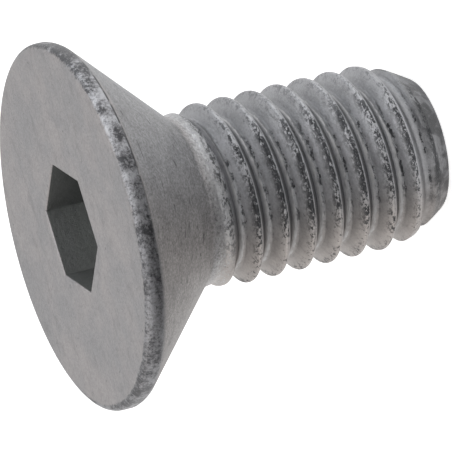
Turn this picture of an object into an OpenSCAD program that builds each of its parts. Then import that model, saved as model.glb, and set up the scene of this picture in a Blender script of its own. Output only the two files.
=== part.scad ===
// Countersunk screw with a hexagon socket and a right-hand metric thread.
// It stands on its threaded end with its axis on Z and its head up. All sizes are in millimetres.

/* [Length and thread] */
// Length over all, from the head face to the threaded end
screw_length = 16.4; // [13:0.1:24]
// Outside diameter of the thread over its crests
thread_d = 8; // [7.5:0.05:8.5]
// Pitch, the distance along the axis from one crest to the next
pitch = 1.25; // [1:0.05:1.5]
// Direction in which the thread's crest leaves the threaded end, in degrees
thread_turn = 56; // [0:1:359]
// Diameter of the flat at the threaded end
end_d = 5.9; // [5.5:0.1:6.9]
// Slope of the end chamfer, measured from the axis in degrees
chamfer_angle = 30; // [25:1:45]

/* [Head] */
// Diameter of the head over its rim
head_d = 16; // [15.2:0.1:17]
// Full angle of the countersunk cone in degrees
cone_angle = 90; // [84:1:96]
// Height of the upright rim, rounded edge included
rim_h = 0.75; // [0.5:0.05:0.9]
// Radius of the rounded edge between face and rim
edge_r = 0.3; // [0.1:0.05:0.4]
// How far the neck lies inside the thread's crests
neck_step = 0.25; // [0.15:0.01:0.35]
// Radius of the hollow curve between cone and neck
neck_fillet = 0.6; // [0.3:0.05:0.9]

/* [Socket] */
// Width across the flats of the hexagon socket
socket_af = 5; // [4:0.1:5.5]
// Depth of the socket's straight walls
socket_depth = 3.5; // [2.6:0.1:3.6]

/* [Hidden] */
$fn = 96;

// Thread form: a crest flat of an eighth of the pitch, a root flat of a quarter and 60 degree flanks
thread_sides = 64;
crest_half = pitch / 16;
root_edge = pitch * 3 / 8;
crest_r = thread_d / 2;
root_r = crest_r - (root_edge - crest_half) / tan(30);
end_r = end_d / 2;

// Levels along the axis, from the face down
head_r = head_d / 2;
neck_r = crest_r - neck_step;
half_cone = cone_angle / 2;
cone_h = (head_r - neck_r) / tan(half_cone);
rim_z = screw_length - rim_h;
neck_z = rim_z - cone_h;

// The hollow curve touches the cone at its upper end and the neck at its lower end
fillet_reach = neck_fillet * tan(half_cone / 2);
fillet_steps = 5;
edge_steps = 6;

// The neck runs out into the first groove, and the thread's core starts inside the head
neck_h = 0.45;
runout_h = 0.7;
runout_r = root_r - 0.15;
core_bury = 0.23;
core_top = neck_z + core_bury;
core_top_r = neck_r - 0.3;
runout_slope = 0.33;
runout_start_r = neck_r - 0.13;

// Socket tip, kept clear of the thread's core
tip_gap = 0.12;
tip_h = min(0.8, screw_length - socket_depth - core_top - tip_gap);
socket_r = socket_af / sqrt(3);
tip_r = socket_af / 2 - 0.1;
overrun = 1;

// Rows of the thread's skin: four edges a turn, with a spare turn past each end
edge_offsets = [-root_edge, -crest_half, crest_half, root_edge];
edge_radii = [root_r, crest_r, crest_r, root_r];
skin_turns = ceil(core_top / pitch) + 4;
skin_rows = 4 * skin_turns;
skin_start = -2 * pitch;
skin_margin = 0.03;

// Height of row j at side i
function skin_z(i, j) =
    skin_start + pitch * (floor(j / 4) + i / thread_sides) + edge_offsets[j % 4];

// Radius of row j at height z, held inside the end chamfer and the run-out under the head
function skin_r(j, z) =
    min(edge_radii[j % 4], end_r + z * tan(chamfer_angle), runout_start_r + (neck_z - z) * runout_slope);

// One point of the skin; rows past an end lie on that end's rim
function skin_point(i, j) =
    let (
        z = skin_z(i, j),
        below = z < skin_margin,
        above = z > core_top - skin_margin,
        r = below ? end_r : above ? core_top_r : skin_r(j, z),
        turn = 360 * i / thread_sides
    )
    [r * cos(turn), r * sin(turn), below ? 0 : above ? core_top : z];

// Point number of row j at side i, with all rows past an end taken as one
function skin_index(i, j) =
    let (
        side = i % thread_sides,
        row = j + 4 * floor(i / thread_sides),
        z = skin_z(side, row),
        kept = z < skin_margin ? 0 : z > core_top - skin_margin ? skin_rows - 1 : row
    )
    side * skin_rows + kept;

function is_triangle(t) = t[0] != t[1] && t[1] != t[2] && t[0] != t[2];

module threaded_core() {
    points = [for (i = [0 : thread_sides - 1]) for (j = [0 : skin_rows - 1]) skin_point(i, j)];
    skin = [
        for (i = [0 : thread_sides - 1])
            for (j = [0 : skin_rows - 6])
                let (
                    a = skin_index(i, j),
                    b = skin_index(i + 1, j),
                    c = skin_index(i + 1, j + 1),
                    d = skin_index(i, j + 1)
                )
                for (t = [[a, c, b], [a, d, c]])
                    if (is_triangle(t)) t
    ];
    foot = [for (i = [0 : thread_sides - 1]) skin_index(i, 0)];
    lid = [for (i = [thread_sides - 1 : -1 : 0]) i * skin_rows + skin_rows - 1];
    rotate([0, 0, thread_turn])
        polyhedron(points = points, faces = concat(skin, [foot], [lid]), convexity = 12);
}

module head_blank() {
    rounded_edge = [
        for (k = [0 : edge_steps])
            let (a = 90 - 90 * k / edge_steps)
            [head_r - edge_r + edge_r * cos(a), screw_length - edge_r + edge_r * sin(a)]
    ];
    hollow_curve = [
        for (k = [0 : fillet_steps])
            let (a = 180 - half_cone + half_cone * k / fillet_steps)
            [neck_r + neck_fillet + neck_fillet * cos(a), neck_z - fillet_reach + neck_fillet * sin(a)]
    ];
    neck_low = neck_z - fillet_reach - neck_h;
    rotate_extrude()
        polygon(concat(
            [[0, screw_length]],
            rounded_edge,
            [[head_r, rim_z]],
            hollow_curve,
            [[neck_r, neck_low], [runout_r, neck_low - runout_h], [0, neck_low - runout_h]]
        ));
}

module socket() {
    translate([0, 0, screw_length - socket_depth])
        cylinder(r = socket_r, h = socket_depth + overrun, $fn = 6);
    translate([0, 0, screw_length - socket_depth - tip_h])
        cylinder(r1 = 0, r2 = tip_r, h = tip_h);
}

module screw() {
    color([0.55, 0.55, 0.55])
        union() {
            difference() {
                head_blank();
                socket();
            }
            threaded_core();
        }
}

screw();
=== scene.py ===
"""Dresses a countersunk screw with a hexagon socket: rolled thread, head, socket and a dull zinc coat."""

import logging
import math
from contextlib import contextmanager
from dataclasses import dataclass, field
from enum import Enum
from typing import Callable, Iterator, Sequence

import bpy
from mathutils import Matrix, Vector

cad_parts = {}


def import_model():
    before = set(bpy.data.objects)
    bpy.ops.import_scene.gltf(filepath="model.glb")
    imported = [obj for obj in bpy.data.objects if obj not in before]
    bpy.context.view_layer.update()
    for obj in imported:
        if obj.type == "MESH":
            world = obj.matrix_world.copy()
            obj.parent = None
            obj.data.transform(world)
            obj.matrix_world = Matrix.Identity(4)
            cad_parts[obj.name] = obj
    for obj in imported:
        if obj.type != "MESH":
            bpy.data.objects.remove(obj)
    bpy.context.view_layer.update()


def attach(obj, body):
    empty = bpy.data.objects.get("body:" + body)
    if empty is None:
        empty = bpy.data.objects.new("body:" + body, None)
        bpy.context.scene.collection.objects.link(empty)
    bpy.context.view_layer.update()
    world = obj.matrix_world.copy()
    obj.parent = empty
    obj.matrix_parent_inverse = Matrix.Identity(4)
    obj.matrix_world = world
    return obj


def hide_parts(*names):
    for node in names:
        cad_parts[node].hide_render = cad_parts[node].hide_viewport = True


LOG = logging.getLogger("screw_scene")
MM = 0.001
PHOTO_SIDE = 452
WELD = 1e-7
FINE_WELD = 2e-8
CUT_REACH = 1e-8
UPWARDS = 0.9
Profile = Sequence[tuple[float, float]]
Points = list[tuple[float, float]]
Colour = tuple[float, float, float]
Limits = tuple[float, ...]
Socket = bpy.types.NodeSocket
Piece = bpy.types.Object


class Cut(Enum):
    """How one solid works on another."""

    JOIN = "UNION"
    REMOVE = "DIFFERENCE"
    KEEP_COMMON = "INTERSECT"


def deselect_everything() -> None:
    """Leaves object mode ready for a new piece, with nothing selected."""
    if bpy.context.mode != "OBJECT":
        bpy.ops.object.mode_set(mode="OBJECT")
    bpy.ops.object.select_all(action="DESELECT")


def pick(piece: Piece) -> None:
    """Makes a piece the only selected and active object.

    Args:
        piece: The object to select.
    """
    deselect_everything()
    piece.select_set(True)
    bpy.context.view_layer.objects.active = piece


@contextmanager
def edit_mode(piece: Piece) -> Iterator[None]:
    """Opens a piece in edit mode with all of it selected, and closes it again.

    Args:
        piece: The mesh object to edit.

    Returns:
        A context in which mesh operators act on the piece.
    """
    pick(piece)
    bpy.ops.object.mode_set(mode="EDIT")
    bpy.ops.mesh.select_mode(type="VERT")
    bpy.ops.mesh.select_all(action="SELECT")
    yield
    bpy.ops.object.mode_set(mode="OBJECT")


def pick_points(piece: Piece, test: Callable[[float, float], bool]) -> None:
    """Selects, in edit mode, only the points that pass a test of radius and height.

    Args:
        piece: The mesh object that is open in edit mode.
        test: Takes a point's distance from the axis and its height in millimetres.
    """
    bpy.ops.mesh.select_all(action="DESELECT")
    bpy.ops.object.mode_set(mode="OBJECT")
    for point in piece.data.vertices:
        point.select = test(math.hypot(point.co.x, point.co.y) / MM, point.co.z / MM)
    bpy.ops.object.mode_set(mode="EDIT")


def draw_outline(name: str, outline: Profile) -> Piece:
    """Draws a chain of edges in the XZ plane, point after point.

    Args:
        name: Name of the new object.
        outline: Radius and height of each point, in millimetres.

    Returns:
        The object that holds the chain.
    """
    deselect_everything()
    bpy.ops.mesh.primitive_plane_add(size=MM)
    piece = bpy.context.object
    piece.name = name
    with edit_mode(piece):
        bpy.ops.mesh.merge(type="CENTER")
        first_r, first_z = outline[0]
        bpy.ops.transform.translate(value=(first_r * MM, 0.0, first_z * MM))
        for (r0, z0), (r1, z1) in zip(outline, outline[1:]):
            step = ((r1 - r0) * MM, 0.0, (z1 - z0) * MM)
            bpy.ops.mesh.extrude_region_move(TRANSFORM_OT_translate={"value": step})
    return piece


def tidy_mesh(piece: Piece, reach: float = FINE_WELD) -> None:
    """Merges doubled points and turns all faces outwards.

    Args:
        piece: The mesh object to clean.
        reach: Largest distance between points that are merged, in metres.
    """
    with edit_mode(piece):
        bpy.ops.mesh.remove_doubles(threshold=reach)
        bpy.ops.mesh.normals_make_consistent(inside=False)


def turn_on_lathe(name: str, outline: Profile, sides: int) -> Piece:
    """Spins an outline once round the Z axis into a closed solid.

    Args:
        name: Name of the new object.
        outline: Radius and height of each point in millimetres, from the axis back to the axis.
        sides: Number of steps in the full turn.

    Returns:
        The turned solid.
    """
    piece = draw_outline(name, outline)
    with edit_mode(piece):
        bpy.ops.mesh.spin(steps=sides, angle=math.tau, center=(0.0, 0.0, 0.0), axis=(0.0, 0.0, 1.0))
    tidy_mesh(piece)
    return piece


def work_with(piece: Piece, tool: Piece, cut: Cut) -> None:
    """Joins a tool solid to a piece, or cuts the piece with it, and removes the tool.

    Args:
        piece: The solid that is changed.
        tool: The solid that is used up.
        cut: What the tool does.
    """
    pick(piece)
    step = piece.modifiers.new(cut.name.lower(), "BOOLEAN")
    step.operation = cut.value
    step.solver = "EXACT"
    step.object = tool
    bpy.ops.object.modifier_apply(modifier=step.name)
    bpy.data.objects.remove(tool)


def arc(centre: tuple[float, float], radius: float, start: float, end: float, steps: int) -> Points:
    """Gives points along an arc in the radius and height plane.

    Args:
        centre: Radius and height of the arc's centre.
        radius: Radius of the arc.
        start: First angle in degrees, measured from outwards to upwards.
        end: Last angle in degrees.
        steps: Number of chords.

    Returns:
        The points from start to end.
    """
    angles = [math.radians(start + (end - start) * k / steps) for k in range(steps + 1)]
    return [(centre[0] + radius * math.cos(a), centre[1] + radius * math.sin(a)) for a in angles]


@dataclass
class CountersunkHead:
    """The flat head with its rounded edge, rim, cone and neck, in millimetres."""

    face_z: float
    rim_r: float = 8.0
    rim_h: float = 0.74
    rim_tilt_deg: float = 0.36
    tilt_depth: float = 0.3
    tilt_height: float = 0.15
    cone_slope_deg: float = 45.0
    edge_r: float = 0.3
    neck_r: float = 3.75
    fillet_r: float = 0.6
    neck_h: float = 0.2
    runout_h: float = 1.2
    core_r: float = 3.1
    lip: float = 0.12
    face_ease: float = 0.06
    cone_ease: float = 0.1
    round_steps: int = 8
    sides: int = 224

    @property
    def rim_z(self) -> float:
        """Height at which the cone starts."""
        return self.face_z - self.rim_h

    @property
    def neck_z(self) -> float:
        """Height at which the sharp cone would meet the neck."""
        return self.rim_z - (self.rim_r - self.neck_r)

    def outline(self) -> Points:
        """Gives the head's outline from the axis at the face to the axis under the neck.

        Returns:
            Radius and height of each point.
        """
        edge_start = self.rim_r - self.edge_r
        edge = arc((edge_start, self.face_z - self.edge_r), self.edge_r, 90.0, 0.0, self.round_steps)
        rim_low = [
            (self.rim_r, self.rim_z + self.lip),
            (self.rim_r - 0.35 * self.lip, self.rim_z + 0.1 * self.lip),
            (self.rim_r - self.lip, self.rim_z - self.lip),
            (self.rim_r - 2 * self.lip, self.rim_z - 2 * self.lip),
        ]
        reach = self.fillet_r * math.tan(math.radians(self.cone_slope_deg / 2))
        centre = (self.neck_r + self.fillet_r, self.neck_z - reach)
        hollow = arc(centre, self.fillet_r, 180.0 - self.cone_slope_deg, 180.0, self.round_steps)
        cone_end = (hollow[0][0] + self.cone_ease, hollow[0][1] + self.cone_ease)
        neck_low = self.neck_z - reach - self.neck_h
        tail = [
            (self.neck_r, neck_low),
            (self.core_r, neck_low - self.runout_h),
            (0.0, neck_low - self.runout_h),
        ]
        face = [(0.0, self.face_z), (edge_start - self.face_ease, self.face_z)]
        return face + edge + rim_low + [cone_end] + hollow + tail

    def build(self) -> Piece:
        """Turns the head on the lathe and tilts the rim's lower edge a little.

        Returns:
            The head, without its socket.
        """
        head = turn_on_lathe("screw_body", self.outline(), self.sides)
        with edit_mode(head):
            inner_r = self.rim_r - self.tilt_depth
            upper_z = self.rim_z + self.tilt_height
            pick_points(head, lambda r, z: r > inner_r and z < upper_z)
            bpy.ops.transform.rotate(
                value=math.radians(self.rim_tilt_deg),
                orient_axis="Y",
                center_override=(0.0, 0.0, self.rim_z * MM),
            )
        return head


@dataclass
class HexSocket:
    """The hexagon socket in the head face, in millimetres."""

    face_z: float
    across_flats: float = 5.0
    depth: float = 3.5
    tip_h: float = 0.7
    mouth: float = 0.05
    overrun: float = 0.5
    tip_step: float = 0.1
    tip_rise: float = 0.3
    tip_sides: int = 64

    @property
    def corner_r(self) -> float:
        """Distance from the axis to a corner."""
        return self.across_flats / math.sqrt(3.0)

    def wall_cutter(self) -> Piece:
        """Makes the six-sided cutter, flared a little at the mouth.

        Returns:
            The cutter, with two corners on the X axis.
        """
        deselect_everything()
        height = (self.depth - self.mouth) * MM
        bpy.ops.mesh.primitive_cylinder_add(
            vertices=6,
            radius=self.corner_r * MM,
            depth=height,
            location=(0.0, 0.0, (self.face_z - self.depth) * MM + height / 2),
            rotation=(0.0, 0.0, math.radians(30.0)),
        )
        cutter = bpy.context.object
        cutter.name = "socket_cutter"
        bpy.ops.object.transform_apply(location=True, rotation=True, scale=True)
        with edit_mode(cutter):
            self.pick_top(cutter)
            flare = (self.corner_r + self.mouth) / self.corner_r
            flared_at = (0.0, 0.0, self.face_z * MM)
            to_face = (0.0, 0.0, self.mouth * MM)
            past_face = (0.0, 0.0, self.overrun * MM)
            bpy.ops.mesh.extrude_region_move(TRANSFORM_OT_translate={"value": to_face})
            bpy.ops.transform.resize(value=(flare, flare, 1.0), center_override=flared_at)
            bpy.ops.mesh.extrude_region_move(TRANSFORM_OT_translate={"value": past_face})
        tidy_mesh(cutter)
        return cutter

    @staticmethod
    def pick_top(cutter: Piece) -> None:
        """Selects, in edit mode, only the face that looks up.

        Args:
            cutter: The mesh object that is open in edit mode.
        """
        bpy.ops.mesh.select_mode(type="FACE")
        bpy.ops.mesh.select_all(action="DESELECT")
        bpy.ops.object.mode_set(mode="OBJECT")
        for face in cutter.data.polygons:
            face.select = face.normal.z > UPWARDS
        bpy.ops.object.mode_set(mode="EDIT")

    def tip_cutter(self) -> Piece:
        """Turns the cutter for the shallow cone under the socket's floor.

        Returns:
            The cutter, which reaches up into the socket.
        """
        floor_z = self.face_z - self.depth
        top_z = floor_z + self.tip_rise
        radius = self.across_flats / 2 - self.tip_step
        outline = [(0.0, top_z), (radius, top_z), (radius, floor_z), (0.0, floor_z - self.tip_h)]
        return turn_on_lathe("tip_cutter", outline, self.tip_sides)


@dataclass
class RolledThread:
    """The right-hand thread with rounded crests and roots, in millimetres.

    The half form gives shares of the pitch and of the depth. The other forms give steps from a radius and
    heights: the foot from the end's radius, the end and the run-out from that of the crests.
    """

    top_z: float
    runout_z: float
    crest_r: float = 4.0
    depth: float = 0.7
    pitch: float = 1.25
    turn_deg: float = 56.0
    end_r: float = 2.95
    waste: float = 0.3
    cover: float = 0.5
    sides: int = 128
    spare_turns: int = 2
    half_form: Profile = (
        (0.0, 0.0), (0.03, 0.006), (0.058, 0.03), (0.083, 0.08), (0.17, 0.34),
        (0.26, 0.61), (0.352, 0.89), (0.385, 0.957), (0.43, 0.989), (0.5, 1.0),
    )
    foot_form: Profile = ((-0.1, 0.0), (-0.02, 0.025), (0.04, 0.1))
    end_form: Profile = (
        (-0.70, 0.6), (-0.41, 1.1), (-0.29, 1.35), (-0.19, 1.65), (-0.07, 2.1), (0.01, 2.5), (0.4, 3.3),
    )
    runout_form: Profile = ((0.4, -2.4), (0.01, -1.65), (-0.125, -1.04), (-0.165, -0.47), (-0.35, 0.0))

    def form(self, crest_z: float) -> Points:
        """Gives one pitch of the thread's outline, from root to root.

        Args:
            crest_z: Height of the crest.

        Returns:
            Radius and height of each point, upwards.
        """
        upper = [(self.crest_r - self.depth * d, crest_z + self.pitch * t) for t, d in self.half_form]
        lower = [(r, 2 * crest_z - z) for r, z in reversed(upper[1:])]
        return lower + upper

    def coil(self) -> Piece:
        """Winds the thread's outline up the axis and closes both ends.

        Returns:
            A threaded rod, longer than the shank.
        """
        start = -self.pitch * (1 + self.spare_turns)
        rod = draw_outline("thread", self.form(start))
        turns = math.ceil((self.top_z - start) / self.pitch) + 1
        wind = rod.modifiers.new("wind", "SCREW")
        wind.axis = "Z"
        wind.angle = math.tau
        wind.screw_offset = self.pitch * MM
        wind.iterations = turns
        wind.steps = self.sides
        wind.render_steps = self.sides
        wind.use_merge_vertices = True
        wind.merge_threshold = FINE_WELD
        pick(rod)
        bpy.ops.object.modifier_apply(modifier=wind.name)
        tidy_mesh(rod, WELD)
        with edit_mode(rod):
            bpy.ops.transform.rotate(
                value=-math.radians(self.turn_deg),
                orient_axis="Z",
                center_override=(0.0, 0.0, 0.0),
            )
        self.trim(rod, -self.waste, -1.0)
        self.trim(rod, self.top_z, 1.0)
        tidy_mesh(rod, WELD)
        return rod

    @staticmethod
    def trim(rod: Piece, level: float, side: float) -> None:
        """Cuts the rod off level and closes the cut.

        Args:
            rod: The threaded rod.
            level: Height of the cut in millimetres.
            side: 1 to take away what is above, -1 for what is below.
        """
        with edit_mode(rod):
            bpy.ops.mesh.bisect(
                plane_co=(0.0, 0.0, level * MM),
                plane_no=(0.0, 0.0, side),
                use_fill=True,
                clear_outer=True,
                threshold=CUT_REACH,
            )

    def blank(self) -> Piece:
        """Turns the blank that bounds the thread: chamfered end below, run-out under the head.

        Returns:
            The solid of which only the part in common with the coil is kept.
        """
        foot = [(self.end_r + step, height) for step, height in self.foot_form]
        chamfer = [(self.crest_r + step, height) for step, height in self.end_form]
        runout = [(self.crest_r + step, self.runout_z + height) for step, height in self.runout_form]
        lid_z = self.top_z + self.cover
        lid = [(self.crest_r - self.cover, lid_z), (0.0, lid_z)]
        return turn_on_lathe("blank", [(0.0, 0.0)] + foot + chamfer + runout + lid, self.sides)

    def build(self) -> Piece:
        """Winds the thread and bounds it by the blank.

        Returns:
            The threaded shank, which ends inside the head.
        """
        rod = self.coil()
        work_with(rod, self.blank(), Cut.KEEP_COMMON)
        return rod


@dataclass(frozen=True)
class Noise:
    """A noise pattern: patches per millimetre, finer layers, their strength, twist and squeeze."""

    scale: float
    detail: float
    rough: float
    warp: float = 0.0
    squeeze: tuple[float, float, float] = (1.0, 1.0, 1.0)


class Pattern(Enum):
    """The noise patterns of the coat."""

    GRAIN = Noise(9.0, 4.0, 0.75)
    CLOUD = Noise(0.5, 3.0, 0.55)
    SMUDGE = Noise(1.9, 4.0, 0.6, 0.3, (0.5, 1.0, 1.0))
    SPECK = Noise(4.2, 2.0, 0.6)
    SCRATCH = Noise(1.9, 3.0, 0.6, squeeze=(0.3, 2.4, 2.4))
    MOTTLE = Noise(1.4, 4.0, 0.6, 0.4)
    STREAK = Noise(3.5, 3.0, 0.6, squeeze=(0.12, 1.0, 1.0))
    LATHE_RING = Noise(9.0, 2.0, 0.6)
    END_BLOTCH = Noise(1.1, 4.0, 0.65, 0.5)
    RIM_BORDER = Noise(4.2, 5.0, 0.75)
    RIM_PATCH = Noise(1.2, 4.0, 0.65)
    RIM_FLECK = Noise(7.5, 5.0, 0.85)
    RIM_SKIN = Noise(5.0, 4.0, 0.7)
    LINE_GAP = Noise(1.8, 4.0, 0.7)
    DRAWN_OUT = Noise(2.2, 4.0, 0.7, squeeze=(1.0, 1.0, 3.0))
    CLUMP = Noise(2.4, 5.0, 0.78, squeeze=(1.0, 1.0, 1.9))
    FINE = Noise(6.5, 4.0, 0.75, squeeze=(1.0, 1.0, 1.8))
    WORN = Noise(0.45, 3.0, 0.6)
    GLINT = Noise(7.0, 3.0, 0.7)


class Side(Enum):
    """Stretches of X in millimetres, eased in over two values and, where there are four, out over two."""

    # Sides where the cone and thread are tinted as painted light of the cool top lamp and the warm low lamp.
    CONE_COOL = (-4.0, 1.0)
    THREAD_COOL = (-3.8, -1.5)
    # Painted light on the rim: flecks livelier, more silver and with more glints toward +X, darker again at
    # the far +X end.
    RIM_LIT_CONTRAST = (-4.0, -1.0)
    RIM_PAINTED_SHEEN = (0.0, 1.5, 4.2, 5.2)
    RIM_PAINTED_SHADE = (4.4, 5.4)
    RIM_GLINTS = (-1.5, 1.0)
    RIM_LINE = (-3.0, 2.0)
    ROOT_REFLECTION_NARROW = (-1.5, 1.5)
    FLANK_SHEEN = (-3.2, 0.0, 1.0, 2.8)
    THREAD_PAINTED_LIGHT = (-1.5, 1.5, 2.0, 3.4)
    THREAD_MIDDLE = (-3.4, -1.6, 1.0, 2.4)
    BROW_FADES = (1.2, 3.0)
    NECK_SPOTS = (-4.0, -2.0)


class Phase(Enum):
    """Stretches across one pitch: 0 is a crest, 0.5 a root, and what is above 0 faces the head."""

    FLANK = (0.04, 0.14, 0.34, 0.44)
    GROOVE_EDGE_SHADE = (0.2, 0.38, 0.43, 0.48)
    GROOVE_SHADE = (0.34, 0.4)
    ROOT = (0.42, 0.46)
    FOOT = (0.32, 0.36, 0.4, 0.44)
    BROW = (-0.07, -0.01, 0.06, 0.27)
    CREST_HIGHLIGHT = (-0.085, -0.065, -0.045, -0.02)
    BACK = (-0.4, -0.35, -0.11, -0.08)


@dataclass(frozen=True)
class Mark:
    """A kind of mark: the pattern's values at which it starts and is full, and how much it then covers."""

    start: float
    full: float
    cover: float


class WearAndLight(Enum):
    """The marks on the coat: worn and handled spots, dark clumps that add painted shade in the root corners,
    and painted light as pale root reflections, glints, crest highlights and pale neck light.
    """

    SMUDGE = Mark(0.5, 0.72, 0.16)
    SPECK = Mark(0.69, 0.76, 0.5)
    SCRATCH = Mark(0.63, 0.69, 0.7)
    RIM_LINE = Mark(0.36, 0.52, 0.85)
    ROOT_REFLECTION = Mark(0.3, 0.6, 0.85)
    FOOT_CLUMP = Mark(0.49, 0.54, 0.9)
    SCUFF = Mark(0.6, 0.68, 0.95)
    GLINT = Mark(0.6, 0.68, 0.4)
    CREST_HIGHLIGHT = Mark(0.45, 0.6, 0.28)
    NECK_PAINTED_LIGHT = Mark(0.44, 0.58, 0.85)
    NECK_GLINT = Mark(0.56, 0.66, 0.6)
    NECK_SPOT = Mark(0.57, 0.65, 0.85)


class NodeBench:
    """Short names for laying out the nodes of one material or world."""

    def __init__(self, tree: bpy.types.NodeTree) -> None:
        """Keeps the tree that nodes are added to."""
        self.tree = tree

    def node(self, kind: str, **settings: object) -> bpy.types.Node:
        """Adds a node and sets its options.

        Args:
            kind: The node's type name.
            settings: Options of the node by name.

        Returns:
            The new node.
        """
        made = self.tree.nodes.new(kind)
        for key, value in settings.items():
            setattr(made, key, value)
        return made

    def feed(self, socket: Socket, source: object) -> None:
        """Links a socket to a source, or writes a plain value in it.

        Args:
            socket: The input socket.
            source: An output socket, a number or a colour.
        """
        if isinstance(source, Socket):
            self.tree.links.new(source, socket)
        else:
            socket.default_value = source

    def math(self, operation: str, *terms: object) -> Socket:
        """Adds a math node.

        Args:
            operation: The operation's name.
            terms: Its inputs, sockets or numbers.

        Returns:
            The result's socket.
        """
        made = self.node("ShaderNodeMath", operation=operation)
        for socket, term in zip(made.inputs, terms):
            self.feed(socket, term)
        return made.outputs[0]

    def line(self, value: object, slope: object, start: object) -> Socket:
        """Gives a value times a slope, plus a start."""
        return self.math("MULTIPLY_ADD", value, slope, start)

    def times(self, first: object, *others: object) -> Socket:
        """Multiplies two or more terms.

        Args:
            first: The first term, a socket or a number.
            others: The other terms.

        Returns:
            The product's socket.
        """
        product = first
        for term in others:
            product = self.math("MULTIPLY", product, term)
        return product

    def between(self, value: Socket, low: float, high: float) -> Socket:
        """Gives 0 up to low and 1 from high on, with a smooth change between them.

        Args:
            value: The value that is tested.
            low: Where the result leaves 0.
            high: Where the result reaches 1.

        Returns:
            The result's socket.
        """
        made = self.node("ShaderNodeMapRange", interpolation_type="SMOOTHSTEP")
        self.feed(made.inputs["Value"], value)
        self.feed(made.inputs["From Min"], low)
        self.feed(made.inputs["From Max"], high)
        return made.outputs["Result"]

    def below(self, value: Socket, low: float, high: float) -> Socket:
        """Gives 1 up to low and 0 from high on, with a smooth change between them."""
        return self.math("SUBTRACT", 1.0, self.between(value, low, high))

    def band(self, value: Socket, limits: Limits) -> Socket:
        """Gives 1 inside a stretch of values and 0 outside it.

        Args:
            value: The value that is tested.
            limits: Where the result leaves 0 and reaches 1 and, of four, leaves 1 and reaches 0 again.

        Returns:
            The result's socket.
        """
        rise = self.between(value, limits[0], limits[1])
        if len(limits) == 2:
            return rise
        return self.times(rise, self.below(value, limits[2], limits[3]))

    def noise(self, place: Socket, pattern: Pattern) -> Socket:
        """Adds a noise pattern.

        Args:
            place: The coordinates to read, in millimetres.
            pattern: Which pattern it is.

        Returns:
            The pattern's value, about 0.5 on average.
        """
        kind = pattern.value
        made = self.node("ShaderNodeTexNoise")
        self.feed(made.inputs["Vector"], self.stretch(place, kind.squeeze))
        self.feed(made.inputs["Scale"], kind.scale)
        self.feed(made.inputs["Detail"], kind.detail)
        self.feed(made.inputs["Roughness"], kind.rough)
        self.feed(made.inputs["Distortion"], kind.warp)
        return made.outputs["Fac"]

    def stretch(self, place: Socket, factors: tuple[float, float, float]) -> Socket:
        """Multiplies coordinates, so that a pattern on them is squeezed or drawn out.

        Args:
            place: The coordinates.
            factors: Factor for each axis.

        Returns:
            The new coordinates.
        """
        made = self.node("ShaderNodeVectorMath", operation="MULTIPLY")
        self.feed(made.inputs[0], place)
        made.inputs[1].default_value = factors
        return made.outputs[0]

    def shade(self, colour: Socket, tone: Socket) -> Socket:
        """Multiplies a colour by a tone.

        Args:
            colour: The colour.
            tone: The tone, which is 1 where the colour stays.

        Returns:
            The shaded colour's socket.
        """
        made = self.node("ShaderNodeVectorMath", operation="SCALE")
        self.feed(made.inputs[0], colour)
        self.feed(made.inputs["Scale"], tone)
        return made.outputs[0]

    def mix(self, share: object, first: object, second: object) -> Socket:
        """Mixes two colours.

        Args:
            share: Share of the second colour.
            first: First colour.
            second: Second colour.

        Returns:
            The mixed colour's socket.
        """
        made = self.node("ShaderNodeMix", data_type="RGBA", clamp_factor=True)
        self.feed(made.inputs[0], share)
        for socket, colour in ((made.inputs[6], first), (made.inputs[7], second)):
            self.feed(socket, (*colour, 1.0) if isinstance(colour, tuple) else colour)
        return made.outputs[2]


@dataclass(frozen=True)
class Spot:
    """Where on the screw a shading point lies, as sockets in millimetres and radians."""

    place: Socket
    across: Socket
    radius: Socket
    height: Socket
    turn: Socket


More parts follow.
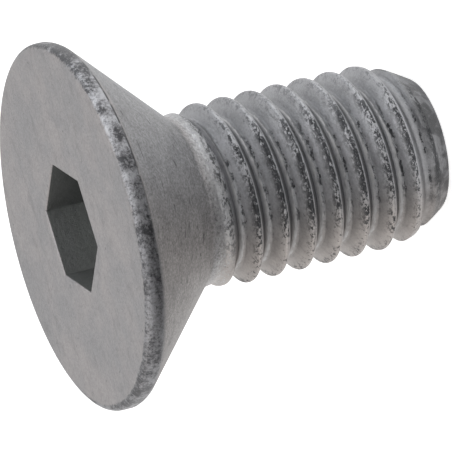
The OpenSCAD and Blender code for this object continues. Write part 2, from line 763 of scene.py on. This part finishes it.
@dataclass(frozen=True)
class ZincCoat:
    """The dull zinc coat: plain on face and cone, rubbed on the rim, spotted along the thread's crests, with
    painted light and shade on rim, socket, neck and thread, and painted lamp tints on cone and thread.

    A cover is the share of a zone's colour. The rim's zone leans by rim_lean for each millimetre of X and is
    wider by bruise for each millimetre of -X, and rim_balance is its flecks' middle value.
    """

    face_z: float
    rim_z: float
    rim_r: float
    neck_z: float
    socket_depth: float
    pitch: float
    turn_deg: float
    plain: Colour = (0.340, 0.322, 0.322)
    plain_cool: Colour = (0.285, 0.280, 0.286)
    cone_cool: Colour = (0.240, 0.241, 0.248)
    # Painted light: the cool copies are for the side toward +X under the cool top lamp, the warm copies for
    # -X under the warm low lamp.
    cone_warm_low_light: Colour = (0.264, 0.248, 0.242)
    thread_cool: Colour = (0.395, 0.397, 0.412)
    thread_warm_low_light: Colour = (0.420, 0.388, 0.370)
    socket_cool: Colour = (0.285, 0.300, 0.294)
    # Painted light: pale reflections along the roots and pale light on the neck.
    pale: Colour = (0.44, 0.438, 0.44)
    # Painted glints and highlights on the rim, the thread's crests and the neck.
    bright: Colour = (0.62, 0.63, 0.66)
    silver: Colour = (0.265, 0.265, 0.278)
    charcoal: Colour = (0.055, 0.056, 0.061)
    dark: Colour = (0.03, 0.031, 0.034)
    metallic: float = 0.8
    noise_span: Limits = (0.3, 0.7)
    cone_cover: float = 0.85
    thread_cover: float = 0.9
    socket_cover: float = 0.8
    rim_cover: float = 0.92
    rim_lean: float = -0.006
    low_side_spread: float = 0.022
    rim_balance: float = 0.49
    # Painted shade in the thread: at the groove's edge, in the groove and on the flank that faces the end.
    groove_edge_shade_cover: float = 0.28
    groove_shade_cover: float = 0.5
    back_flank_shade_cover: float = 0.7
    wall_turns: Limits = (1.03, 1.06, 2.08, 2.11)
    end_heights: Limits = (0.8, 1.6)

    @property
    def cone_heights(self) -> Limits:
        """Heights of the cone."""
        return (self.neck_z - 0.1, self.neck_z + 0.2, self.rim_z - 0.25, self.rim_z - 0.05)

    @property
    def socket_heights(self) -> Limits:
        """Heights of the socket's walls."""
        return (self.neck_z, self.neck_z + 0.1, self.face_z - 0.12, self.face_z - 0.03)

    @property
    def rim_line_heights(self) -> Limits:
        """Heights of the dark line along the rim's lower edge."""
        return (self.rim_z - 0.09, self.rim_z - 0.05, self.rim_z, self.rim_z + 0.05)

    @property
    def thread_heights(self) -> Limits:
        """Heights between which the thread has its full form."""
        return (1.1, 2.2, self.neck_z - 1.4, self.neck_z - 0.7)

    @property
    def scuff_heights(self) -> Limits:
        """Heights between which the thread is scuffed, down to the end chamfer."""
        return (0.2, 0.9, self.neck_z - 1.4, self.neck_z - 0.7)

    @property
    def neck_heights(self) -> Limits:
        """Heights of the neck's painted light, laid as pale mottles."""
        return (self.neck_z - 1.0, self.neck_z - 0.7, self.neck_z - 0.15, self.neck_z + 0.05)

    @property
    def neck_spot_heights(self) -> Limits:
        """Heights of the dark spots under the neck."""
        return (self.neck_z - 1.05, self.neck_z - 0.85, self.neck_z - 0.65, self.neck_z - 0.3)

    def build(self) -> bpy.types.Material:
        """Lays out the coat's nodes.

        Returns:
            The finished material.
        """
        material = bpy.data.materials.new("zinc_coat")
        material.use_nodes = True
        painter = CoatPainter(self, material.node_tree)
        painter.paint(material.node_tree.nodes["Principled BSDF"])
        return material


class CoatPainter(NodeBench):
    """Lays out the coat, zone after zone, on one running colour."""

    def __init__(self, coat: ZincCoat, tree: bpy.types.NodeTree) -> None:
        """Lays out the places and patterns that more than one zone reads.

        Args:
            coat: The coat's colours and zones.
            tree: The material's nodes.
        """
        super().__init__(tree)
        self.coat = coat
        self.spot = self.find_spot()
        self.grain = self.band(self.read(Pattern.GRAIN), coat.noise_span)
        self.drawn_out = self.read(Pattern.DRAWN_OUT)
        self.fine = self.read(Pattern.FINE)
        cloud = self.band(self.read(Pattern.CLOUD), coat.noise_span)
        self.colour = self.mix(cloud, coat.plain, coat.plain_cool)

    def paint(self, shader: bpy.types.Node) -> None:
        """Lays all zones and feeds the material's shader.

        Args:
            shader: The material's Principled BSDF.
        """
        self.add_plain_coat()
        rim = self.rim_zone()
        self.add_rim(rim)
        self.add_rim_line()
        self.add_thread()
        self.add_neck()
        shader.inputs["Metallic"].default_value = self.coat.metallic
        self.feed(shader.inputs["Base Color"], self.colour)
        dull = self.line(self.grain, 0.12, 0.42)
        self.feed(shader.inputs["Roughness"], self.line(rim, -0.06, dull))
        self.feed(shader.inputs["Normal"], self.relief(rim))

    def find_spot(self) -> Spot:
        """Splits a shading point's place into its X, its distance from the axis, its height and its turn.

        Returns:
            The sockets of the place.
        """
        coordinates = self.node("ShaderNodeTexCoord")
        place = self.stretch(coordinates.outputs["Object"], (1.0 / MM, 1.0 / MM, 1.0 / MM))
        parts = self.node("ShaderNodeSeparateXYZ")
        self.feed(parts.inputs[0], place)
        x, y, z = parts.outputs
        squares = self.math("ADD", self.times(x, x), self.times(y, y))
        return Spot(place, x, self.math("SQRT", squares), z, self.math("ARCTAN2", y, x))

    def read(self, pattern: Pattern) -> Socket:
        """Reads a noise pattern at the place on the screw."""
        return self.noise(self.spot.place, pattern)

    def side(self, side: Side) -> Socket:
        """Gives 1 on a named side of the screw and 0 elsewhere."""
        return self.band(self.spot.across, side.value)

    def lay(self, cover: float, laid: object, *zones: Socket) -> None:
        """Lays a colour on the running one where all zones meet.

        Args:
            cover: Share of the laid colour where all zones are 1.
            laid: The colour on top.
            zones: Zones between 0 and 1.
        """
        self.colour = self.mix(self.times(*zones, cover), self.colour, laid)

    def mark(self, mark_kind: WearAndLight, pattern: Socket, laid: Colour, *zones: Socket) -> None:
        """Lays marks of one kind where a pattern is strong and all zones meet.

        Args:
            mark_kind: The kind of mark.
            pattern: The pattern's value.
            laid: The marks' colour.
            zones: Zones between 0 and 1.
        """
        shown = self.between(pattern, mark_kind.value.start, mark_kind.value.full)
        self.lay(mark_kind.value.cover, laid, *zones, shown)

    def add_plain_coat(self) -> None:
        """Lays the colours of cone, shank and socket, their tones, and smudges, specks and scratches."""
        coat, spot = self.coat, self.spot
        cone = self.times(self.band(spot.height, coat.cone_heights), self.between(spot.radius, 3.1, 3.3))
        # Painted light: the cone's own darker colour, tinted cool toward +X and warm toward -X for the top
        # and low lamps.
        self.lay(coat.cone_cover, self.mix(self.side(Side.CONE_COOL), coat.cone_warm_low_light, coat.cone_cool), cone)
        shank = self.below(spot.height, coat.neck_z - 0.6, coat.neck_z)
        # Painted light: the thread's colour is tinted cool toward +X and warm toward -X in the same way.
        thread_colour = self.mix(self.side(Side.THREAD_COOL), coat.thread_warm_low_light, coat.thread_cool)
        self.lay(coat.thread_cover, thread_colour, shank)
        self.colour = self.shade(self.colour, self.coat_tone(shank))
        self.colour = self.shade(self.colour, self.end_tone())
        self.add_socket()
        self.mark(WearAndLight.SMUDGE, self.read(Pattern.SMUDGE), coat.dark)
        self.mark(WearAndLight.SPECK, self.read(Pattern.SPECK), coat.dark)
        self.mark(WearAndLight.SCRATCH, self.read(Pattern.SCRATCH), coat.dark, cone)

    def coat_tone(self, shank: Socket) -> Socket:
        """Gives the coat's mottles, streaks, grain and lathe rings as one tone.

        Args:
            shank: 1 on the shank, where the flanks are smoother.

        Returns:
            The tone, about 1 on average.
        """
        coat, spot = self.coat, self.spot
        under = self.below(spot.height, coat.rim_z - 0.25, coat.rim_z - 0.05)
        under = self.times(under, self.between(spot.radius, 2.5, 3.2))
        rough = self.times(under, self.line(shank, -0.6, 1.0))
        mottle = self.math("SUBTRACT", self.read(Pattern.MOTTLE), 0.5)
        mottles = self.line(self.times(mottle, rough), 0.8, 0.98)
        streaks = self.line(self.read(Pattern.STREAK), 0.14, 0.93)
        grain_depth = self.line(rough, 0.5, self.line(shank, -0.3, 0.38))
        grains = self.line(self.math("SUBTRACT", self.grain, 0.5), grain_depth, 1.0)
        profile = self.node("ShaderNodeCombineXYZ")
        self.feed(profile.inputs[0], spot.radius)
        self.feed(profile.inputs[1], spot.height)
        ring = self.math("SUBTRACT", self.noise(profile.outputs[0], Pattern.LATHE_RING), 0.5)
        rings = self.line(self.times(ring, rough), 0.35, 1.0)
        return self.times(mottles, streaks, grains, rings)

    def end_tone(self) -> Socket:
        """Gives the darker, blotched tone of the end chamfer.

        Returns:
            The tone, which is 1 away from the chamfer.
        """
        chamfer = self.below(self.spot.height, *self.coat.end_heights)
        blotch = self.between(self.read(Pattern.END_BLOTCH), 0.38, 0.6)
        return self.line(chamfer, self.line(blotch, -0.4, -0.35), 1.0)

    def add_socket(self) -> None:
        """Cools the socket's walls and paints shade and light on them: all walls are painted darker near the
        mouth, and the two that face along Y are painted paler with depth than the others.
        """
        coat, spot = self.coat, self.spot
        walls = self.times(self.below(spot.radius, 3.0, 3.1), self.band(spot.height, coat.socket_heights))
        self.lay(coat.socket_cover, coat.socket_cool, walls)
        # Painted light and shade: all walls are darkened, least deep down, and the two walls that face along
        # Y are painted paler with depth.
        along_y = self.band(self.math("ABSOLUTE", spot.turn), coat.wall_turns)
        floor_z = coat.face_z - coat.socket_depth
        along_y = self.times(along_y, self.between(spot.height, floor_z + 0.02, floor_z + 0.3))
        painted_light_gain = self.line(along_y, 0.36, 0.04)
        depth = self.math("MINIMUM", self.math("SUBTRACT", coat.face_z, spot.height), 2.0)
        tone = self.line(depth, painted_light_gain, -0.32)
        self.colour = self.shade(self.colour, self.line(walls, tone, 1.0))

    def rim_zone(self) -> Socket:
        """Gives 1 on the rim and 0 elsewhere, with a ragged border that is wider on the side of -X.

        Returns:
            The zone's socket.
        """
        coat, spot = self.coat, self.spot
        wander = self.line(self.read(Pattern.RIM_BORDER), 0.4, -0.2)
        low_side = self.math("MAXIMUM", self.times(spot.across, -1.0), 0.0)
        # Darker toward -X: the rim's dark zone reaches further in on that side.
        border = self.line(low_side, coat.low_side_spread, self.math("ADD", spot.radius, wander))
        outer = self.between(border, coat.rim_r - 0.19, coat.rim_r - 0.09)
        level = self.line(spot.across, coat.rim_lean, self.line(wander, 0.3, spot.height))
        return self.times(outer, self.between(level, coat.rim_z - 0.03, coat.rim_z + 0.01))

    def add_rim(self, rim: Socket) -> None:
        """Lays charcoal and silver flecks on the rim as wear, with painted light over them: toward +X the
        flecks are livelier, more silver and carry more painted glints, with the most silver half way to +X,
        and they are painted darker again at the far +X end.

        Args:
            rim: The rim's zone.
        """
        coat = self.coat
        flecks = self.math("SUBTRACT", self.read(Pattern.RIM_FLECK), 0.47)
        tone = self.line(self.read(Pattern.RIM_PATCH), 0.9, flecks)
        # Painted light: the flecks' contrast, silver and glints rise toward +X and fall again at its far
        # end.
        lit_contrast = self.line(self.side(Side.RIM_LIT_CONTRAST), 0.4, 0.6)
        tone = self.line(self.math("SUBTRACT", tone, coat.rim_balance), lit_contrast, coat.rim_balance)
        tone = self.line(self.side(Side.RIM_PAINTED_SHEEN), 0.09, tone)
        tone = self.line(self.side(Side.RIM_PAINTED_SHADE), -0.07, tone)
        rubbed = self.mix(self.between(tone, 0.4, 0.55), coat.charcoal, coat.silver)
        share = self.line(self.side(Side.RIM_GLINTS), 0.22, 0.25)
        rubbed = self.mix(self.times(self.between(tone, 0.54, 0.66), share), rubbed, coat.bright)
        self.lay(coat.rim_cover, rubbed, rim)

    def add_rim_line(self) -> None:
        """Draws the broken dark line along the rim's lower edge, strongest on the side of +X."""
        coat, spot = self.coat, self.spot
        line = self.band(self.line(spot.across, coat.rim_lean, spot.height), coat.rim_line_heights)
        outer = self.between(spot.radius, coat.rim_r - 0.3, coat.rim_r - 0.2)
        strength = self.line(self.side(Side.RIM_LINE), 0.85, 0.15)
        self.mark(WearAndLight.RIM_LINE, self.read(Pattern.LINE_GAP), coat.dark, line, outer, strength)

    def thread_phase(self) -> Socket:
        """Gives the place across the thread, as Phase has it.

        Returns:
            The phase between -0.5 and 0.5.
        """
        coat, spot = self.coat, self.spot
        lead = self.line(spot.height, 1.0 / coat.pitch, 0.5 + coat.turn_deg / 360.0)
        lead = self.line(spot.turn, -1.0 / math.tau, lead)
        return self.math("SUBTRACT", self.math("FRACT", lead), 0.5)

    def add_thread(self) -> None:
        """Gives the thread's flanks a painted sheen, paints shade at the edges of its grooves, in the
        grooves and on the flanks that face the end, paints pale reflections along its roots, scuffs its
        crests and paints glints and a highlight line on them.
        """
        coat = self.coat
        thread = self.band(self.spot.height, coat.thread_heights)
        phase = self.thread_phase()
        # Painted light: strength of the groove shade, glints and crest highlight by side of the screw.
        depth = self.line(self.side(Side.THREAD_PAINTED_LIGHT), 0.6, 0.4)
        # Painted sheen: the flanks are lightened, most where X is about 0 to 1.
        sheen = self.times(self.band(phase, Phase.FLANK.value), self.side(Side.FLANK_SHEEN), thread)
        self.colour = self.shade(self.colour, self.line(sheen, 0.75, 1.0))
        # Painted shade at the groove's edge and in the groove.
        self.lay(coat.groove_edge_shade_cover, coat.dark, self.band(phase, Phase.GROOVE_EDGE_SHADE.value), thread, depth)
        groove_shade = self.band(self.math("ABSOLUTE", phase), Phase.GROOVE_SHADE.value)
        self.lay(coat.groove_shade_cover, coat.dark, groove_shade, thread, depth)
        uneven = self.line(self.drawn_out, 0.22, self.math("SUBTRACT", phase, 0.11))
        # Painted reflection: a pale strip along each root, narrower toward +X.
        deep = self.line(self.side(Side.ROOT_REFLECTION_NARROW), -0.03, self.math("ABSOLUTE", uneven))
        self.mark(WearAndLight.ROOT_REFLECTION, self.drawn_out, coat.pale, self.band(deep, Phase.ROOT.value), thread)
        brow = self.add_scuffs(uneven)
        # Painted glints: bright sparkles along the crests.
        self.mark(WearAndLight.GLINT, self.read(Pattern.GLINT), coat.bright, brow, thread, depth)
        # Painted highlight: a thin bright line along each crest's edge toward the end.
        line = self.band(phase, Phase.CREST_HIGHLIGHT.value)
        self.mark(WearAndLight.CREST_HIGHLIGHT, self.drawn_out, coat.bright, line, thread, depth)
        # Painted shade on the flank that faces the end.
        self.lay(coat.back_flank_shade_cover, coat.dark, self.band(phase, Phase.BACK.value), thread)

    def add_scuffs(self, uneven: Socket) -> Socket:
        """Lays dark clumps along the foot of the flanks, coating deposits with painted shade in the root's
        corner, and dark scuffs along the crests.

        Args:
            uneven: The thread's phase with a wavering edge.

        Returns:
            The zone along the crests, which the painted glints share.
        """
        coat = self.coat
        scuffed = self.band(self.spot.height, coat.scuff_heights)
        middle = self.side(Side.THREAD_MIDDLE)
        clumps = self.read(Pattern.CLUMP)
        # Dark clumps at the flank's foot: coating deposits with painted shade in the root's corner.
        foot = self.times(self.band(uneven, Phase.FOOT.value), middle)
        self.mark(WearAndLight.FOOT_CLUMP, clumps, coat.dark, foot, scuffed)
        fade = self.line(self.side(Side.BROW_FADES), -0.5, 1.0)
        brow = self.times(self.band(uneven, Phase.BROW.value), fade)
        patches = self.line(self.read(Pattern.WORN), -0.4, self.times(clumps, 0.75))
        scuffs = self.line(middle, 0.09, self.line(self.fine, 0.85, patches))
        self.mark(WearAndLight.SCUFF, scuffs, coat.dark, brow, scuffed)
        return brow

    def add_neck(self) -> None:
        """Lays painted light on the neck as pale mottles with painted glints, and a few dark spots."""
        coat = self.coat
        ragged = self.line(self.fine, 0.5, self.math("SUBTRACT", self.spot.height, 0.25))
        neck = self.band(ragged, coat.neck_heights)
        # Painted light: pale mottles and glints round the neck's hollow.
        self.mark(WearAndLight.NECK_PAINTED_LIGHT, self.fine, coat.pale, neck)
        self.mark(WearAndLight.NECK_GLINT, self.fine, coat.bright, neck)
        low = self.band(ragged, coat.neck_spot_heights)
        spots = self.line(self.drawn_out, 0.6, self.times(self.fine, 0.6))
        self.mark(WearAndLight.NECK_SPOT, spots, coat.dark, low, self.side(Side.NECK_SPOTS))

    def relief(self, rim: Socket) -> Socket:
        """Gives the coat its fine grain and the rim its rougher skin.

        Args:
            rim: The rim's zone.

        Returns:
            The bent normal's socket.
        """
        grained = self.node("ShaderNodeBump")
        grained.inputs["Strength"].default_value = 0.4
        grained.inputs["Distance"].default_value = 0.02 * MM
        self.feed(grained.inputs["Height"], self.grain)
        rough = self.node("ShaderNodeBump")
        rough.inputs["Distance"].default_value = 0.05 * MM
        self.feed(rough.inputs["Strength"], self.times(rim, 0.35))
        self.feed(rough.inputs["Height"], self.read(Pattern.RIM_SKIN))
        self.feed(rough.inputs["Normal"], grained.outputs[0])
        return rough.outputs[0]


@dataclass
class Screw:
    """The whole screw: head, socket and thread in one piece."""

    length: float = 16.4
    core_bury: float = 0.23
    soft_ramp: float = 0.4
    sharp_angle_deg: float = 32.0
    head: CountersunkHead = field(init=False)
    socket: HexSocket = field(init=False)
    thread: RolledThread = field(init=False)

    def __post_init__(self) -> None:
        """Sets the parts on one another."""
        self.head = CountersunkHead(face_z=self.length)
        self.socket = HexSocket(face_z=self.length)
        neck_z = self.head.neck_z
        self.thread = RolledThread(top_z=neck_z + self.core_bury, runout_z=neck_z)

    def build(self) -> Piece:
        """Builds the screw's mesh.

        Returns:
            The closed mesh object.
        """
        body = self.head.build()
        work_with(body, self.socket.wall_cutter(), Cut.REMOVE)
        work_with(body, self.socket.tip_cutter(), Cut.REMOVE)
        work_with(body, self.thread.build(), Cut.JOIN)
        tidy_mesh(body, WELD)
        self.soften(body, low=self.head.neck_z - 1.5, high=self.head.neck_z + 0.5, rounds=10)
        self.soften(body, low=0.1, high=1.8, rounds=5)
        pick(body)
        bpy.ops.object.shade_smooth_by_angle(angle=math.radians(self.sharp_angle_deg))
        return body

    def soften(self, body: Piece, low: float, high: float, rounds: int) -> None:
        """Smooths a stretch of the screw, with the smoothing eased in at both ends of it.

        Args:
            body: The screw's mesh object.
            low: Height in millimetres at which the stretch starts.
            high: Height in millimetres at which it ends.
            rounds: Number of times that the points are evened out.
        """
        group = body.vertex_groups.new(name="soft")
        for point in body.data.vertices:
            height = point.co.z / MM
            inside = min(height - low, high - height) / self.soft_ramp
            if inside > 0.0:
                group.add([point.index], min(1.0, inside), "REPLACE")
        pick(body)
        ease = body.modifiers.new("ease", "SMOOTH")
        ease.factor = 0.5
        ease.iterations = rounds
        ease.vertex_group = group.name
        bpy.ops.object.modifier_apply(modifier=ease.name)
        body.vertex_groups.clear()

    def dress(self, body: Piece) -> None:
        """Gives the screw its coat and sets it in the frame.

        Args:
            body: The screw's mesh object.
        """
        coat = ZincCoat(
            face_z=self.length,
            rim_z=self.head.rim_z,
            rim_r=self.head.rim_r,
            neck_z=self.head.neck_z,
            socket_depth=self.socket.depth,
            pitch=self.thread.pitch,
            turn_deg=self.thread.turn_deg,
        )
        body.data.materials.clear()
        body.data.materials.append(coat.build())
        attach(body, "root")
        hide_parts("screw")


@dataclass
class SoftLamp:
    """One soft square lamp, placed in metres along picture directions from the middle of the screw."""

    name: str
    right: float
    up: float
    back: float
    side: float
    power: float
    colour: Colour = (1.0, 1.0, 1.0)


@dataclass
class Studio:
    """The pale floor, the soft light and the camera of the photograph."""

    camera_mm: Vector = field(default_factory=lambda: Vector((-56.41, -315.39, 128.4)))
    look_right: Vector = field(default_factory=lambda: Vector((-0.28955, -0.29267, -0.91132)))
    look_up: Vector = field(default_factory=lambda: Vector((0.94353, -0.24738, -0.22034)))
    focal_px: float = 8000.0
    middle_mm: Vector = field(default_factory=lambda: Vector((0.0, 0.0, 8.2)))
    lamps: tuple[SoftLamp, ...] = (
        SoftLamp("left_lamp", -0.17, 0.0, 0.11, 0.16, 0.09),
        SoftLamp("top_lamp", -0.13, 0.17, 0.03, 0.16, 0.13, (0.93, 0.97, 1.0)),
        SoftLamp("low_lamp", -0.08, -0.20, 0.02, 0.28, 0.09, (1.0, 0.91, 0.82)),
    )
    world_strength: float = 0.35
    floor_side: float = 3.0
    floor_grey: float = 0.9
    floor_glow: float = 0.75
    matte: float = 0.9
    card_colour: Colour = (0.02, 0.02, 0.022)
    card_lift: float = 0.0003
    card_near: float = 0.009
    card_long: float = 0.16
    card_wide: float = 0.075
    card_turn_deg: float = -26.0

    @property
    def look_back(self) -> Vector:
        """Direction from the screw to the camera."""
        return self.look_right.cross(self.look_up).normalized()

    def set_camera(self) -> None:
        """Stands the camera where the photograph was taken from."""
        data = bpy.data.cameras.new("camera")
        data.sensor_width = 36.0
        data.lens = self.focal_px / PHOTO_SIDE * data.sensor_width
        data.clip_start = 0.005
        data.clip_end = 20.0
        camera = bpy.data.objects.new("camera", data)
        bpy.context.scene.collection.objects.link(camera)
        right, back = self.look_right.normalized(), self.look_back
        up = back.cross(right)
        turn = Matrix((right, up, back)).transposed().to_4x4()
        camera.matrix_world = Matrix.Translation(self.camera_mm * MM) @ turn
        bpy.context.scene.camera = camera

    def set_lamps(self) -> None:
        """Hangs the soft lamps round the screw."""
        right, up, back = self.look_right, self.look_up, self.look_back
        for lamp in self.lamps:
            data = bpy.data.lights.new(lamp.name, "AREA")
            data.shape = "SQUARE"
            data.size = lamp.side
            data.energy = lamp.power
            data.color = lamp.colour
            shift = right * lamp.right + up * lamp.up + back * lamp.back
            hung = bpy.data.objects.new(lamp.name, data)
            hung.location = self.middle_mm * MM + shift
            hung.rotation_mode = "QUATERNION"
            hung.rotation_quaternion = shift.to_track_quat("Z", "Y")
            bpy.context.scene.collection.objects.link(hung)

    def set_world(self) -> None:
        """Fills the room with even light, and shows it as white."""
        world = bpy.data.worlds.new("room")
        world.use_nodes = True
        bench = NodeBench(world.node_tree)
        light = world.node_tree.nodes["Background"]
        light.inputs["Color"].default_value = (1.0, 1.0, 1.0, 1.0)
        seen = self.seen_directly(bench)
        strength = bench.line(seen, 1.0 - self.world_strength, self.world_strength)
        bench.feed(light.inputs["Strength"], strength)
        bpy.context.scene.world = world

    @staticmethod
    def seen_directly(bench: NodeBench) -> Socket:
        """Gives 1 for rays from the camera, from a gloss or through glass, and 0 for others.

        Args:
            bench: The nodes of a material or world.

        Returns:
            The result's socket.
        """
        rays = bench.node("ShaderNodeLightPath")
        first = bench.math("MAXIMUM", rays.outputs["Is Camera Ray"], rays.outputs["Is Glossy Ray"])
        return bench.math("MAXIMUM", first, rays.outputs["Is Transmission Ray"])

    def lay_floor(self) -> None:
        """Lays the pale floor under the screw."""
        deselect_everything()
        bpy.ops.mesh.primitive_plane_add(size=self.floor_side)
        floor = bpy.context.object
        floor.name = "floor"
        material = bpy.data.materials.new("pale_floor")
        material.use_nodes = True
        bench = NodeBench(material.node_tree)
        shader = material.node_tree.nodes["Principled BSDF"]
        shader.inputs["Base Color"].default_value = (self.floor_grey, self.floor_grey, self.floor_grey, 1.0)
        shader.inputs["Roughness"].default_value = self.matte
        shader.inputs["Emission Color"].default_value = (1.0, 1.0, 1.0, 1.0)
        glow = bench.times(self.seen_directly(bench), self.floor_glow)
        bench.feed(shader.inputs["Emission Strength"], glow)
        floor.data.materials.append(material)

    def lay_dark_card(self) -> None:
        """Lays a dark card on the floor before the screw, which only shows in the screw's gloss."""
        deselect_everything()
        bpy.ops.mesh.primitive_plane_add(size=1.0)
        card = bpy.context.object
        card.name = "dark_card"
        front = math.atan2(self.look_back.y, self.look_back.x)
        size = Matrix.Diagonal((self.card_long, self.card_wide, 1.0, 1.0))
        shift = Matrix.Translation((self.card_near + self.card_long / 2, 0.0, self.card_lift))
        turn = Matrix.Rotation(front + math.radians(self.card_turn_deg), 4, "Z")
        card.data.transform(turn @ shift @ size)
        material = bpy.data.materials.new("dark_card")
        material.use_nodes = True
        shader = material.node_tree.nodes["Principled BSDF"]
        shader.inputs["Base Color"].default_value = (*self.card_colour, 1.0)
        shader.inputs["Roughness"].default_value = self.matte
        card.data.materials.append(material)
        card.visible_camera = False
        card.visible_diffuse = False
        card.visible_shadow = False

    def build(self) -> None:
        """Sets up the whole studio."""
        bpy.context.scene.view_settings.view_transform = "Standard"
        self.lay_floor()
        self.lay_dark_card()
        self.set_world()
        self.set_lamps()
        self.set_camera()


def main() -> None:
    """Loads the frame, builds and dresses the screw and sets up the studio."""
    logging.basicConfig(level=logging.INFO, format="%(name)s: %(message)s")
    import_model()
    screw = Screw()
    body = screw.build()
    screw.dress(body)
    LOG.info("piece %s has %d faces", body.name, len(body.data.polygons))
    Studio().build()


if __name__ == "__main__":
    main()
